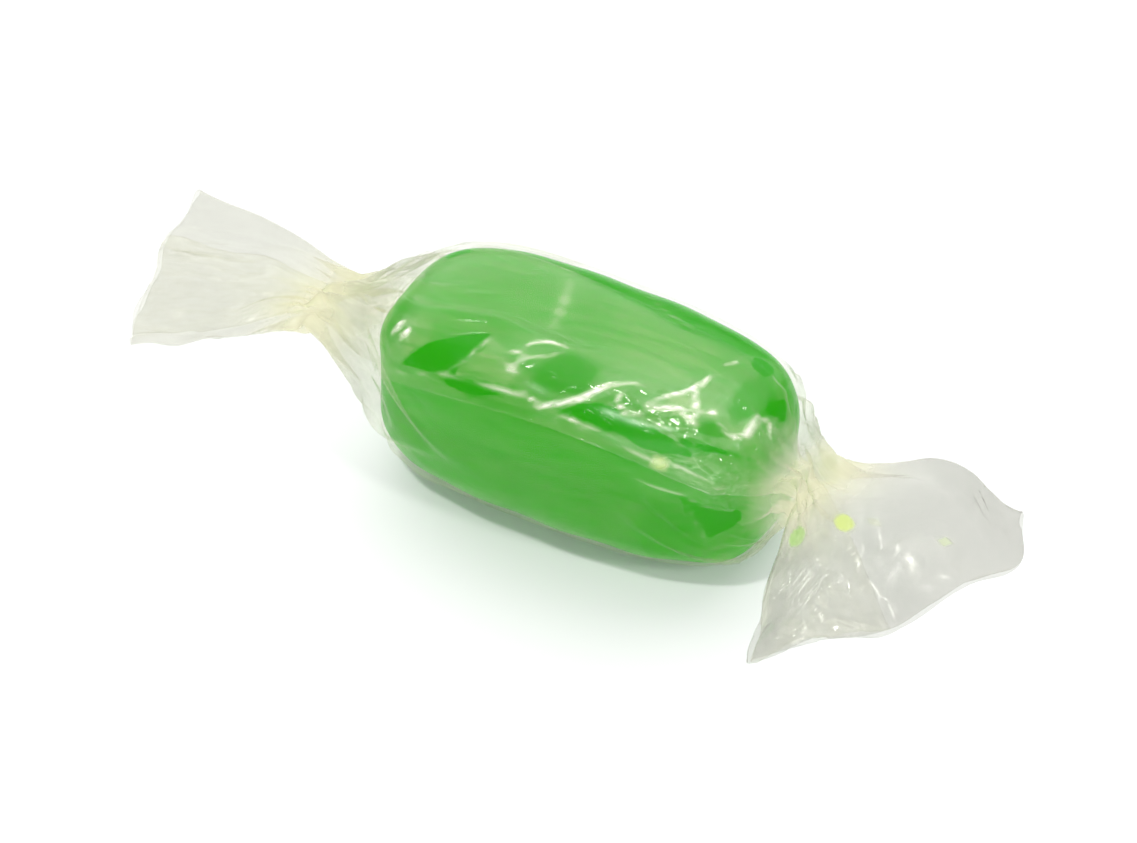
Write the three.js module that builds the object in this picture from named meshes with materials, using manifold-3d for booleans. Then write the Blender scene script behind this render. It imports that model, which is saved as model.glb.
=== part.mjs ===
// A wrapped hard boiled sweet: a pressed oblong bar of clear green sugar, rolled in a clear
// film that laps along the front top edge and is gathered into a neck and a tail at each end.
//
// Millimetres, +Z up. X runs along the bar, with the short, wide tail at +X, and the lap faces
// the front at -Y. The origin is on the table, below the middle of the bar.

import * as THREE from 'three';
import { mergeVertices } from 'three/addons/utils/BufferGeometryUtils.js';
import Module from 'manifold-3d';

// ---------------------------------------------------------------- driving dimensions

const bar = {
  length: 28.4,
  width: 15.8,
  height: 13.4,
  sectionPower: 3.3, // of the section across it: 2 is an ellipse, larger is squarer
  planPower: 2.9, // of its outline from above
  sidePower: 4.6, // of its outline from the side
  taper: 0.09, // the share of its width that its end at +X lacks
  steps: [16, 9, 8], // facets along its length, width and height
};

const film = {
  wall: 0.3, // stands for a film of 0.03
  pressed: 0.14, // how much the table flattens its underside
  slack: 0.25, // between the bar and the film
  lapGap: 0.2, // between the two layers of the lap
  lapAngle: 90, // degrees of the second layer
  lapEdge: 140, // degrees from +Y over the top to the free edge
  lapLift: 0.35, // how far the crumpled free edge stands off
  lapWaves: 5,
  pleats: 9, // round the cone between the bar and a neck
  pleatDepth: 0.35,
  coneShare: { left: 0.24, right: 0.2 }, // of the steps along it, in the cone at each end
  normalStep: 0.004,
  stepsAlong: 34,
  stepsAround: 48,
};

// A tail's place is given from the middle of its neck: "out" is away from the bar, "side" is
// towards the front, tipped down by tilt degrees, and "lift" is square to both.
const tails = {
  left: {
    direction: -1,
    beyond: 5.0, // from the end of the bar to the middle of the neck
    slant: 0.45, // how far the front of the neck is out, for each millimetre to the side
    neckWidth: 5.8,
    neckHeight: 4.0,
    neckLift: 0.6, // above the middle of the bar
    tilt: 17,
    edge: [[2.5, -2.8], [13.4, -4.4], [14.6, -1.4], [12.6, 2.4], [13.2, 5.6], [11.4, 8.4]],
    folds: 3.5,
    foldDepth: 1.1,
  },
  right: {
    direction: 1,
    beyond: 2.4,
    slant: -0.25,
    neckWidth: 5.8,
    neckHeight: 4.0,
    neckLift: 0.3,
    tilt: 19,
    edge: [[2.0, -4.6], [4.2, -5.2], [12.6, -3.4], [14.2, -0.8], [11.2, 3.8], [7.4, 8.0], [1.2, 12.8]],
    folds: 4.5,
    foldDepth: 1.1,
  },
};

const fan = {
  wall: 0.6,
  stepsOut: 9,
  stepsAcross: 26,
  rootDepth: 0.5, // inside the neck
  rootShare: 0.42, // the sheet starts this share of the neck's width each side of its middle
};

const neck = {
  reachIn: 1.5, // from the neck's middle towards the bar
  reachOut: 1.7,
  flutes: 7,
  fluteDepth: 0.3,
  waist: 0.9, // width at the middle as a share of the width at its ends
  flattened: 0.14, // height at the outer end, where the tail spreads, as a share
  narrowed: 0.7, // width there
  buried: 0.76, // the film's cone runs in to this share of the neck, so it ends inside the rod
  sides: 28,
  rings: 6,
};

const colours = { sugar: '#4fb53c', film: '#e9ebe6' };

// ---------------------------------------------------------------- worked-out dimensions

const barMiddle = bar.height / 2 + film.slack + film.wall - film.pressed; // above the table
const half = new THREE.Vector3(bar.length, bar.width, bar.height).multiplyScalar(0.5);
const radians = THREE.MathUtils.degToRad;
const smooth = (from, to, value) => THREE.MathUtils.smoothstep(value, from, to);
const mix = THREE.MathUtils.lerp;

// ---------------------------------------------------------------- solids from points

/** A closed geometry from points and triangle corners, turned so that its faces point out. */
function closedGeometry(points, corners) {
  const volume = new THREE.Vector3();
  let sum = 0;
  for (let i = 0; i < corners.length; i += 3) {
    const [a, b, c] = [points[corners[i]], points[corners[i + 1]], points[corners[i + 2]]];
    sum += a.dot(volume.crossVectors(b, c));
  }
  const turned = [];
  for (let i = 0; i < corners.length; i += 3) {
    const [a, b, c] = corners.slice(i, i + 3);
    turned.push(...(sum > 0 ? [a, b, c] : [a, c, b]));
  }
  const geometry = new THREE.BufferGeometry().setFromPoints(points);
  geometry.setIndex(turned);
  return geometry;
}

/** The two triangles between four corners, listed in turn. */
function quad(a, b, c, d) {
  return [a, b, c, a, c, d];
}

/**
 * A sheet with a wall: surface(u, v, side) gives its two faces for side 0 and 1, with u and v
 * from 0 to 1, and rims close it all round.
 */
function sheet(surface, stepsU, stepsV) {
  const points = [];
  for (const side of [0, 1]) {
    for (let i = 0; i <= stepsU; i += 1) {
      for (let j = 0; j <= stepsV; j += 1) {
        points.push(surface(i / stepsU, j / stepsV, side));
      }
    }
  }
  const at = (i, j, side) => (side * (stepsU + 1) + i) * (stepsV + 1) + j;
  const corners = [];
  for (let i = 0; i < stepsU; i += 1) {
    for (let j = 0; j < stepsV; j += 1) {
      corners.push(...quad(at(i, j, 0), at(i, j + 1, 0), at(i + 1, j + 1, 0), at(i + 1, j, 0)));
      const [a, b, c, d] = [at(i, j, 1), at(i, j + 1, 1), at(i + 1, j + 1, 1), at(i + 1, j, 1)];
      corners.push(a, c, b, a, d, c);
    }
  }
  for (let i = 0; i < stepsU; i += 1) {
    corners.push(...quad(at(i, 0, 0), at(i + 1, 0, 0), at(i + 1, 0, 1), at(i, 0, 1)));
    corners.push(...quad(at(i + 1, stepsV, 0), at(i, stepsV, 0), at(i, stepsV, 1), at(i + 1, stepsV, 1)));
  }
  for (let j = 0; j < stepsV; j += 1) {
    corners.push(...quad(at(0, j + 1, 0), at(0, j, 0), at(0, j, 1), at(0, j + 1, 1)));
    corners.push(...quad(at(stepsU, j, 0), at(stepsU, j + 1, 0), at(stepsU, j + 1, 1), at(stepsU, j, 1)));
  }
  return closedGeometry(points, corners);
}

/** A rod through rings of points, each with its middle, closed by a flat cap at both ends. */
function rod(ring, rings, sides) {
  const points = [];
  for (let i = 0; i <= rings; i += 1) {
    for (let j = 0; j < sides; j += 1) {
      points.push(ring(i / rings, (2 * Math.PI * j) / sides));
    }
  }
  const corners = [];
  for (let i = 0; i < rings; i += 1) {
    for (let j = 0; j < sides; j += 1) {
      const next = (j + 1) % sides;
      const [a, b] = [i * sides, (i + 1) * sides];
      corners.push(...quad(a + j, a + next, b + next, b + j));
    }
  }
  const caps = [[0, 0], [rings, 1]];
  for (const [row, along] of caps) {
    const middle = points.length;
    points.push(ring(along, null));
    for (let j = 0; j < sides; j += 1) {
      const [a, b] = [row * sides + j, row * sides + ((j + 1) % sides)];
      corners.push(...(along === 0 ? [middle, b, a] : [middle, a, b]));
    }
  }
  return closedGeometry(points, corners);
}

// ---------------------------------------------------------------- joining

const solids = await Module();
solids.setup();

function toSolid(geometry) {
  const bare = geometry.clone();
  bare.deleteAttribute('normal');
  bare.deleteAttribute('uv');
  const merged = mergeVertices(bare, 1e-5);
  return new solids.Manifold(new solids.Mesh({
    numProp: 3,
    vertProperties: merged.attributes.position.array,
    triVerts: new Uint32Array(merged.index.array),
  }));
}

function toGeometry(solid) {
  const { vertProperties, triVerts } = solid.getMesh();
  const geometry = new THREE.BufferGeometry();
  geometry.setAttribute('position', new THREE.BufferAttribute(vertProperties, 3));
  geometry.setIndex(new THREE.BufferAttribute(triVerts, 1));
  return geometry;
}

// ---------------------------------------------------------------- the sugar bar

/** How much a direction across the bar faces its sides (1) rather than its top or bottom (0). */
function sideways(y, z) {
  const [a, b] = [Math.abs(y) ** bar.sectionPower, Math.abs(z) ** bar.sectionPower];
  return a / (a + b + 1e-12);
}

/** How blunt the ends are in a direction across the bar: rounder in plan than from the side. */
function endPower(y, z) {
  return mix(bar.sidePower, bar.planPower, sideways(y, z));
}

/** What the width is multiplied by at x from the middle, as the bar narrows towards +X. */
function narrowing(x) {
  return 1 - bar.taper * smooth(0, 1, x / half.x);
}

/** The bar: a box whose points are drawn in to a squarish section and rounded ends. */
function barGeometry() {
  const [nx, ny, nz] = bar.steps;
  const box = new THREE.BoxGeometry(2, 2, 2, nx, ny, nz);
  box.deleteAttribute('normal');
  box.deleteAttribute('uv');
  const geometry = mergeVertices(box);
  const place = geometry.attributes.position;
  for (let i = 0; i < place.count; i += 1) {
    const [x, y, z] = [place.getX(i), place.getY(i), place.getZ(i)];
    const across = (Math.abs(y) ** bar.sectionPower + Math.abs(z) ** bar.sectionPower)
      ** (1 / bar.sectionPower);
    const power = endPower(y, z);
    const size = (Math.abs(x) ** power + across ** power) ** (1 / power);
    const along = (x * half.x) / size;
    const aside = ((y * half.y) / size) * narrowing(along);
    place.setXYZ(i, along, aside, (z * half.z) / size + barMiddle);
  }
  return geometry;
}

// ---------------------------------------------------------------- the film

// The film follows a shape like the bar's, larger by the slack.
const roll = {
  length: half.x + film.slack,
  width: half.y + film.slack,
  height: half.z + film.slack,
};

/** The direction across the roll at an angle from +Y, as shares of its half width and height. */
function across(angle) {
  const [y, z] = [Math.cos(angle) / roll.width, Math.sin(angle) / roll.height];
  const size = (Math.abs(y) ** bar.sectionPower + Math.abs(z) ** bar.sectionPower)
    ** (1 / bar.sectionPower);
  return [y / size, z / size];
}

/** The section's radius at an angle, as a share of the full one, at x from the middle. */
function shareAt(x, power) {
  return (1 - (Math.abs(x) / roll.length) ** power) ** (1 / power);
}

/** Where the film leaves the bar at an angle, on its straight way to the neck. */
function leavingPoint(tail, fullRadius, neckRadius, power) {
  const neckX = half.x + tail.beyond;
  let [low, high] = [roll.length * 0.3, roll.length * 0.9999];
  for (let i = 0; i < 40; i += 1) {
    const x = (low + high) / 2;
    const share = shareAt(x, power);
    const slope = -((x / roll.length) ** (power - 1)) / roll.length * share ** (1 - power);
    if (share + slope * (neckX - x) > neckRadius / fullRadius) {
      low = x;
    } else {
      high = x;
    }
  }
  return low;
}

/** How far u, from 0 at the left neck to 1 at the right one, is from the bar to a neck. */
function gathered(u) {
  const [left, right] = [film.coneShare.left, 1 - film.coneShare.right];
  return Math.max((left - u) / left, (u - right) / (1 - right), 0);
}

/** A point of the smooth roll, without pleats or wall: the bar's shape, then two cones. */
function rollPoint(u, angle) {
  const [left, right] = [film.coneShare.left, 1 - film.coneShare.right];
  const [y, z] = across(angle);
  const fullRadius = Math.hypot(y * roll.width, z * roll.height);
  const power = endPower(y, z);
  const ends = [tails.left, tails.right].map((tail) => {
    const [w, h] = [tail.neckWidth / 2, tail.neckHeight / 2].map((size) => size * neck.buried);
    const neckRadius = 1 / Math.hypot(Math.cos(angle) / w, Math.sin(angle) / h);
    const x = leavingPoint(tail, fullRadius, neckRadius, power);
    const turn = Math.acos((x / roll.length) ** (power / 2));
    return { tail, x, neckRadius, radius: fullRadius * shareAt(x, power), turn };
  });
  const body = THREE.MathUtils.clamp((u - left) / (right - left), 0, 1);
  const turn = mix(Math.PI - ends[0].turn, ends[1].turn, body);
  const cosine = Math.cos(turn);
  let x = Math.sign(cosine) * Math.abs(cosine) ** (2 / power) * roll.length;
  let radius = fullRadius * shareAt(x, power) * mix(1, narrowing(x), Math.cos(angle) ** 2);
  let lift = 0;
  const gather = gathered(u);
  if (gather > 0) {
    const { tail, neckRadius } = ends[u < left ? 0 : 1];
    const out = half.x + tail.beyond - tail.slant * neckRadius * Math.cos(angle);
    x = mix(x, tail.direction * out, gather);
    radius = mix(radius, neckRadius, gather);
    lift = tail.neckLift * gather;
  }
  return new THREE.Vector3(x, radius * Math.cos(angle), radius * Math.sin(angle) + lift + barMiddle);
}

/** The direction out of the smooth roll, from the directions along it and round it. */
function rollNormal(u, angle) {
  const [before, after] = [Math.max(u - film.normalStep, 0), Math.min(u + film.normalStep, 1)];
  const along = rollPoint(after, angle).sub(rollPoint(before, angle));
  const around = rollPoint(u, angle + film.normalStep).sub(rollPoint(u, angle - film.normalStep));
  return around.cross(along).normalize();
}

/** Ridges that run from the bar's ends into the necks, never inside the smooth roll. */
function pleat(u, angle) {
  const gather = gathered(u);
  const uneven = 1.4 * Math.sin(2 * angle + (u < 0.5 ? 0.7 : 2.1));
  const ridge = 1 + Math.cos(film.pleats * angle + uneven + 1.2 * gather);
  return film.pleatDepth * smooth(0, 0.5, gather) * (1.2 - gather) * ridge;
}

/** The film round the bar: one turn and a lap, the outer layer ending in a crumpled edge. */
function sleeve() {
  const lap = film.lapAngle / (360 + film.lapAngle);
  return sheet((u, v, side) => {
    const uneven = 3 * Math.sin(2.3 * Math.PI * u + 0.6) + 1.5 * Math.sin(7 * Math.PI * u);
    const wander = uneven * (1 - smooth(0, 2 * lap, v));
    const angle = radians(film.lapEdge + wander - v * (360 + film.lapAngle));
    const overlap = (film.wall + film.lapGap) * (1 - smooth(lap * 1.02, lap * 1.9, v));
    const crumple = 0.5 + 0.5 * Math.sin(2 * Math.PI * film.lapWaves * u);
    const onBar = 1 - smooth(0, 0.6, gathered(u));
    const lift = film.lapLift * crumple * onBar * (1 - smooth(0, lap * 0.35, v));
    const out = overlap + lift + side * film.wall + pleat(u, angle);
    const point = rollPoint(u, angle).addScaledVector(rollNormal(u, angle), out);
    point.z = Math.max(point.z, 0);
    return point;
  }, film.stepsAlong, film.stepsAround);
}

// ---------------------------------------------------------------- necks and tails

/** A tail's middle and its three directions: out, side and lift. */
function tailFrame(tail) {
  const tilt = radians(tail.tilt);
  return {
    middle: new THREE.Vector3(tail.direction * (half.x + tail.beyond), 0, barMiddle + tail.neckLift),
    out: new THREE.Vector3(tail.direction, 0, 0),
    side: new THREE.Vector3(0, -Math.cos(tilt), -Math.sin(tilt)),
    lift: new THREE.Vector3(0, -Math.sin(tilt), Math.cos(tilt)),
  };
}

function inFrame(frame, out, side, lift) {
  return frame.middle.clone()
    .addScaledVector(frame.out, out)
    .addScaledVector(frame.side, side)
    .addScaledVector(frame.lift, lift);
}

/** The gathered film of a neck: a fluted rod that is thinnest at its middle. */
function neckRod(tail) {
  const frame = tailFrame(tail);
  return rod((along, angle) => {
    const out = mix(-neck.reachIn, neck.reachOut, along);
    if (angle === null) {
      return inFrame(frame, out, 0, 0);
    }
    const flare = mix(neck.waist, 1, (2 * along - 1) ** 2);
    const flute = neck.fluteDepth * Math.cos(neck.flutes * angle + 2.5 * along) * (1 - 0.7 * along);
    const width = (tail.neckWidth / 2) * flare + flute;
    const flat = mix(1, neck.flattened, smooth(0.35, 1, along));
    const height = (tail.neckHeight / 2) * flare * flat + flute;
    const side = width * Math.cos(angle) * mix(1, neck.narrowed, smooth(0.5, 1, along));
    return inFrame(frame, out + tail.slant * side, side, height * Math.sin(angle));
  }, neck.rings, neck.sides);
}

/** The spread film of a tail: a thin wavy sheet from the neck to the film's cut edge. */
function tailFan(tail) {
  const frame = tailFrame(tail);
  const edge = new THREE.Path(tail.edge.map(([out, side]) => new THREE.Vector2(out, side)));
  const root = tail.neckWidth * fan.rootShare;
  return sheet((u, v, face) => {
    const rim = edge.getPointAt(v);
    const start = root * (2 * v - 1);
    const out = mix(tail.slant * start - fan.rootDepth, rim.x, u);
    const side = mix(start, rim.y, u);
    const fold = Math.sin(2 * Math.PI * (tail.folds * v + 0.35 * Math.sin(2.6 * v + 1)) + 0.5 * u);
    const sag = -0.6 * u * u;
    const lift = tail.foldDepth * smooth(0, 0.9, u) * fold + sag;
    return inFrame(frame, out, side, lift + fan.wall * (face - 0.5));
  }, fan.stepsOut, fan.stepsAcross);
}

function wrapperGeometry() {
  let whole = toSolid(sleeve());
  for (const tail of [tails.left, tails.right]) {
    whole = whole.add(toSolid(neckRod(tail))).add(toSolid(tailFan(tail)));
  }
  return toGeometry(whole);
}

// ---------------------------------------------------------------- the wrapped sweet

function named(name, geometry, material) {
  const mesh = new THREE.Mesh(geometry, material);
  mesh.name = name;
  return mesh;
}

const sugar = new THREE.MeshStandardMaterial({ color: colours.sugar, roughness: 0.12, metalness: 0 });
const clearFilm = new THREE.MeshStandardMaterial({ color: colours.film, roughness: 0.2, metalness: 0 });

const wrappedSweet = new THREE.Group();
wrappedSweet.add(named('sweet', barGeometry(), sugar));
wrappedSweet.add(named('wrapper', wrapperGeometry(), clearFilm));

export default wrappedSweet;
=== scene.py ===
import bpy
import numpy as np
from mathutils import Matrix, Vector


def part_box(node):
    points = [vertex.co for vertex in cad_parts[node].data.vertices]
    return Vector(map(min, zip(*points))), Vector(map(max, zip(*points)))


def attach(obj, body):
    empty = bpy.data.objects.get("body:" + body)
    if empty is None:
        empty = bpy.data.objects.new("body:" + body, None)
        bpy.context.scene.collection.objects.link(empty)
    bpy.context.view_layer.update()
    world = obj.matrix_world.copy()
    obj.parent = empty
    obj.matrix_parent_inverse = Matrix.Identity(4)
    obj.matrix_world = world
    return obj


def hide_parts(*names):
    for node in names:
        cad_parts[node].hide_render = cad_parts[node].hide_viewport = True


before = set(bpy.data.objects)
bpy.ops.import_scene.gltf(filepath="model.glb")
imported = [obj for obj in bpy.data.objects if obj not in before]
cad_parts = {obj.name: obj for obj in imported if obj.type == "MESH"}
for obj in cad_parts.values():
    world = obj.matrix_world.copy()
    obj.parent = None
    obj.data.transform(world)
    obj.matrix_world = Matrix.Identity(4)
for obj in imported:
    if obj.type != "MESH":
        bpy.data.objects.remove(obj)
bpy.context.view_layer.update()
mm = 0.001  # everything below is worked out in millimetres and scaled once

# the bar's middle and half sizes, in mm, as the frame gives them
barLow, barHigh = (np.array(corner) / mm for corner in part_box("sweet"))
barMid = (barLow + barHigh) / 2
barHalf = (barHigh - barLow) / 2
print("bar", barHalf * 2, "middle", barMid)


def smooth(low, high, x):
    # smoothstep: 0 below low, 1 above high
    t = np.clip((x - low) / (high - low), 0, 1)
    return t * t * (3 - 2 * t)


def mix(a, b, t):
    return a + (b - a) * t


def addMesh(name, points, quads, material, uv=None, fields=None):
    # points in mm, quads as rows of corner numbers, fields one number for each point
    mesh = bpy.data.meshes.new(name)
    mesh.from_pydata((points * mm).tolist(), [], quads.tolist())
    if uv is not None:
        layer = mesh.uv_layers.new(name="UVMap")
        corner = np.empty(len(mesh.loops), dtype=np.int32)
        mesh.loops.foreach_get("vertex_index", corner)
        layer.data.foreach_set("uv", uv[corner].ravel().astype(np.float32))
    for field, values in (fields or {}).items():
        attribute = mesh.attributes.new(field, "FLOAT", "POINT")
        attribute.data.foreach_set("value", values.ravel().astype(np.float32))
    mesh.polygons.foreach_set("use_smooth", np.ones(len(mesh.polygons), dtype=bool))
    mesh.update()
    piece = bpy.data.objects.new(name, mesh)
    bpy.context.collection.objects.link(piece)
    mesh.materials.append(material)
    return piece


def gridQuads(rows, columns):
    # corner numbers of the quads of a grid of rows x columns points
    i, j = np.meshgrid(np.arange(rows - 1), np.arange(columns - 1), indexing="ij")
    first = (i * columns + j).ravel()
    return np.stack([first, first + columns, first + columns + 1, first + 1], axis=1)


def newMaterial(name):
    # an empty node material and its tree
    material = bpy.data.materials.new(name)
    material.use_nodes = True
    tree = material.node_tree
    tree.nodes.clear()
    return material, tree


def addNode(tree, kind, **values):
    # a node with its sockets or its settings set by name
    node = tree.nodes.new(kind)
    for key, value in values.items():
        if key in node.inputs:
            node.inputs[key].default_value = value
        else:
            setattr(node, key, value)
    return node


def readField(tree, name):
    # a number that the mesh carries at each point
    return addNode(tree, "ShaderNodeAttribute", attribute_name=name).outputs["Fac"]


def math(tree, operation, *values):
    # a Math node whose inputs are numbers or sockets
    node = addNode(tree, "ShaderNodeMath", operation=operation)
    for socket, value in zip(node.inputs, values):
        if isinstance(value, (int, float)):
            socket.default_value = value
        else:
            tree.links.new(value, socket)
    return node.outputs[0]


def mapRange(tree, value, fromMin, fromMax, toMin, toMax, kind="LINEAR"):
    # one range of a socket's values carried over to another
    node = addNode(tree, "ShaderNodeMapRange", interpolation_type=kind)
    for key, number in (("From Min", fromMin), ("From Max", fromMax), ("To Min", toMin), ("To Max", toMax)):
        node.inputs[key].default_value = number
    tree.links.new(value, node.inputs["Value"])
    return node.outputs[0]


def mixColour(tree, factor, first, second):
    # two colours, each a tuple or a socket
    node = addNode(tree, "ShaderNodeMix", data_type="RGBA")
    tree.links.new(factor, node.inputs[0])
    for socket, colour in ((node.inputs[6], first), (node.inputs[7], second)):
        if isinstance(colour, tuple):
            socket.default_value = colour
        else:
            tree.links.new(colour, socket)
    return node.outputs[2]


def mixShader(tree, factor, first, second):
    node = addNode(tree, "ShaderNodeMixShader")
    tree.links.new(factor, node.inputs[0])
    tree.links.new(first, node.inputs[1])
    tree.links.new(second, node.inputs[2])
    return node.outputs[0]


# the bar of boiled sugar
bar = {
    "sectionPower": 3.3,  # squareness of its section
    "planPower": 2.9,  # of its outline from above
    "sidePower": 4.6,  # of its outline from the side
    "steps": 56,  # grid steps along each side of the cube it is drawn from
    "dent": 0.07,  # mm, how uneven its faces are
    "taper": 0.09,  # share of its width that its right end lacks
    "weld": 0.002,  # mm, how near the grids' edge points are that become one
    "colour": (0.03, 0.445, 0.004, 1),
    "roughness": 0.22,
    "ior": 1.45,
    "specular": 0.05,
    "transmission": 0.35,
    "scatterRadius": (0.4, 1.0, 0.3),  # how far red, green and blue go in it, as shares
    "scatterScale": 3,  # mm
    "depthColour": (0.3, 0.85, 0.2, 1),  # of light that goes right through
    "depthDensity": 60.0,  # how quickly it takes that colour
}


def barSize(x, y, z):
    # how large a bar through a point would be, as a share of the real one; x, y and z are
    # shares of its half sizes: (|x|^n + (|y|^s + |z|^s)^(n/s))^(1/n), n blended by direction
    y, z = np.abs(y) + 1e-9, np.abs(z) + 1e-9
    section = y ** bar["sectionPower"] + z ** bar["sectionPower"]
    power = mix(bar["sidePower"], bar["planPower"], y ** bar["sectionPower"] / section)
    return (np.abs(x) ** power + section ** (power / bar["sectionPower"])) ** (1 / power)


def narrowing(x):
    # what the width is multiplied by at x mm from the middle
    return 1 - bar["taper"] * smooth(0, 1, x / barHalf[0])


def barSurface():
    # six grids of a cube, each point divided by its bar size, then gently dented by sines
    n = bar["steps"]
    a, b = np.meshgrid(np.linspace(-1, 1, n + 1), np.linspace(-1, 1, n + 1), indexing="ij")
    a, b, one = a.ravel(), b.ravel(), np.ones((n + 1) ** 2)
    sides = [(one, a, b), (-one, b, a), (b, one, a), (a, -one, b), (a, b, one), (b, a, -one)]
    cube = np.concatenate([np.stack(side, axis=1) for side in sides])
    quads = np.concatenate([gridQuads(n + 1, n + 1) + k * (n + 1) ** 2 for k in range(6)])
    cube /= barSize(*cube.T)[:, None]
    x, y, z = (cube * barHalf).T
    wave = (np.sin(0.55 * x + 1.3 * np.sin(0.4 * z)) * np.sin(0.6 * y + 0.5 * x + 1)
            + 0.6 * np.sin(1.1 * x - 0.7 * z + 2) * np.sin(0.9 * y + 0.3))
    points = cube * (barHalf + bar["dent"] * (wave[:, None] - 1.6))
    points[:, 1] *= narrowing(points[:, 0])
    return points + barMid, quads


def sugarMaterial():
    # light goes into it and comes out green
    material, tree = newMaterial("boiledSugar")
    output = addNode(tree, "ShaderNodeOutputMaterial")
    shader = addNode(tree, "ShaderNodeBsdfPrincipled")
    shader.inputs["Base Color"].default_value = bar["colour"]
    shader.inputs["Roughness"].default_value = bar["roughness"]
    shader.inputs["IOR"].default_value = bar["ior"]
    shader.inputs["Specular IOR Level"].default_value = bar["specular"]
    shader.inputs["Transmission Weight"].default_value = bar["transmission"]
    shader.inputs["Subsurface Weight"].default_value = 1.0
    shader.inputs["Subsurface Radius"].default_value = bar["scatterRadius"]
    shader.inputs["Subsurface Scale"].default_value = bar["scatterScale"] * mm
    tree.links.new(shader.outputs[0], output.inputs["Surface"])
    volume = addNode(tree, "ShaderNodeVolumeAbsorption")
    volume.inputs["Color"].default_value = bar["depthColour"]
    volume.inputs["Density"].default_value = bar["depthDensity"]
    tree.links.new(volume.outputs[0], output.inputs["Volume"])
    return material


barPoints, barQuads = barSurface()
sugar = addMesh("sugarBar", barPoints, barQuads, sugarMaterial())
weld = sugar.modifiers.new("weld", "WELD")
weld.merge_threshold = bar["weld"] * mm
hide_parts("sweet")
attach(sugar, "root")
print("bar made", len(barPoints))


# the film: one sheet rolled round the bar, gathered at two necks and spread at its ends
film = {
    "wall": 0.04,  # mm
    "slack": 0.14,  # off the bar
    "layer": 0.12,  # from one layer of the lap to the next
    # how many degrees lie double, at shares of the bar's half: the hidden edge runs slanting
    "lap": [(-1.0, 108.0), (-0.45, 98.0), (-0.1, 90.0), (0.35, 78.0), (0.8, 80.0)],
    "lapEdge": 140.0,  # degrees from +Y, over the top, to its free edge
    "endTurn": 14.0,  # degrees that the sheet is turned by towards each end of the bar
    "body": 18.0,  # mm of its length that count as lying on the bar
    "rows": 121,  # points along the sheet, before they are doubled
    "columns": 101,  # points round it, before they are doubled
    "pleats": 8,  # round each neck
    "pleatDepth": 1.35,  # mm
    "underside": 0.03,  # mm above the table
    "loose": -0.004,  # how much longer the film is than its way along the bar
    "looseAtLap": 0.032,  # more of that by the free edge
    "looseRound": 0.003,  # and round the bar
    "looseAtEnds": 0.04,  # more of that over the bar's ends
    "drawn": 0.85,  # share of its own length that a tail keeps instead of the flat sheet's
    "stir": 0.16,  # mm, the unevenness that starts its wrinkles
    "stirWaves": (24, 9.0, 5),  # how many waves that is made of, the longest in mm, seed
    "steps": (500, 160),  # rounds of settling on the coarse and on the fine grid
    "momentum": 0.85,  # share of its last move that a point keeps in the next round
    "give": 0.45,  # share of the pulls on it that a point follows
    "suction": 0.15,  # share of its way to the sugar that clinging film goes in a round
    "snugness": 0.3,  # and the share of that where it only lies close
    "fineDepth": 0.01,  # mm, creases all over
    "endDepth": 0.012,  # more of that over the bar's ends
    "fineWaves": [(6.0, 11, 0.55), (3.4, 12, 0.3), (2.0, 13, 0.15)],  # longest in mm, seed, share
    "neckReach": 3.2,  # mm along the sheet over which a neck is hazy
    "clearTint": (0.99, 0.99, 0.985, 1),  # of light that goes through tight film
    "milkyTint": (0.87, 0.872, 0.855, 1),  # and through creased film
    "glossTint": (1.0, 1.0, 0.9, 1),
    "roughness": (0.11, 0.26),  # of tight and of creased film
    "shine": (0.0014, 0.29),  # seen square on and edge on
    "crumpledShine": 0.02,  # more of that where it is crumpled
    "haze": 0.034,  # share of its surface that is cloudy
    "milkyHaze": 0.055,  # more of that where it is milky
    "neckHaze": 0.32,  # and in the necks
    "rimHaze": 0.45,  # at the least, at its cut edges
    "paintedLightHaze": 0.8,  # and on a painted spot of light
    "hazeColour": (0.8, 0.82, 0.5, 1),
    "milkyColour": (0.75, 0.74, 0.72, 1),
    "neckColour": (0.77, 0.75, 0.56, 1),
    # painted highlight along the creases
    "paintedGlintColour": (1, 1, 0.92, 1),
    "paintedLightColours": ((0.7, 0.84, 0.18, 1), (0.32, 0.6, 0.16, 1)),  # painted spots of light, yellow and green
    "bump": 0.12,  # mm, its finest streaks and creases
}

# its two tails, in mm and degrees. Both layers of a tail end at its rim: places out from the
# neck and aside, from the back to the front
tails = {
    "left": {
        "direction": -1, "beyond": 5.0, "slant": 0.45, "neckWidth": 5.4, "neckHeight": 3.8, "neckLift": 0.6,
        "tilt": 17.0, "length": 14.2, "twist": 20.0, "cone": 8.6,
        "rim": [(13.4, -4.4), (14.6, -1.4), (12.6, 2.4), (13.2, 5.6), (11.4, 8.4)],
        "backBulge": 0.3, "folds": 2.0, "foldDepth": 0.9, "mouth": 0.8,
    },
    "right": {
        "direction": 1, "beyond": 2.4, "slant": -0.25, "neckWidth": 5.4, "neckHeight": 3.8, "neckLift": 0.3,
        "tilt": 19.0, "length": 12.8, "twist": 43.0, "cone": 7.4,
        "rim": [(12.6, -3.4), (14.2, -0.8), (11.2, 3.8), (7.4, 8.0), (1.2, 12.8)],
        "backBulge": 2.2, "folds": 2.6, "foldDepth": 0.8, "mouth": 0.5,
    },
}

roll = barHalf + film["slack"]  # half sizes of the roll of film


def acrossRoll(angle):
    # the section's point at an angle from +Y, as shares of the half width and height
    y, z = np.cos(angle) / roll[1], np.sin(angle) / roll[2]
    power = bar["sectionPower"]
    size = (np.abs(y) ** power + np.abs(z) ** power) ** (1 / power)
    return y / size, z / size


def shareAt(x, power):
    # the section at x from the middle, as a share of the full one
    return np.clip(1 - (np.abs(x) / roll[0]) ** power, 0, 1) ** (1 / power)


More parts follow.
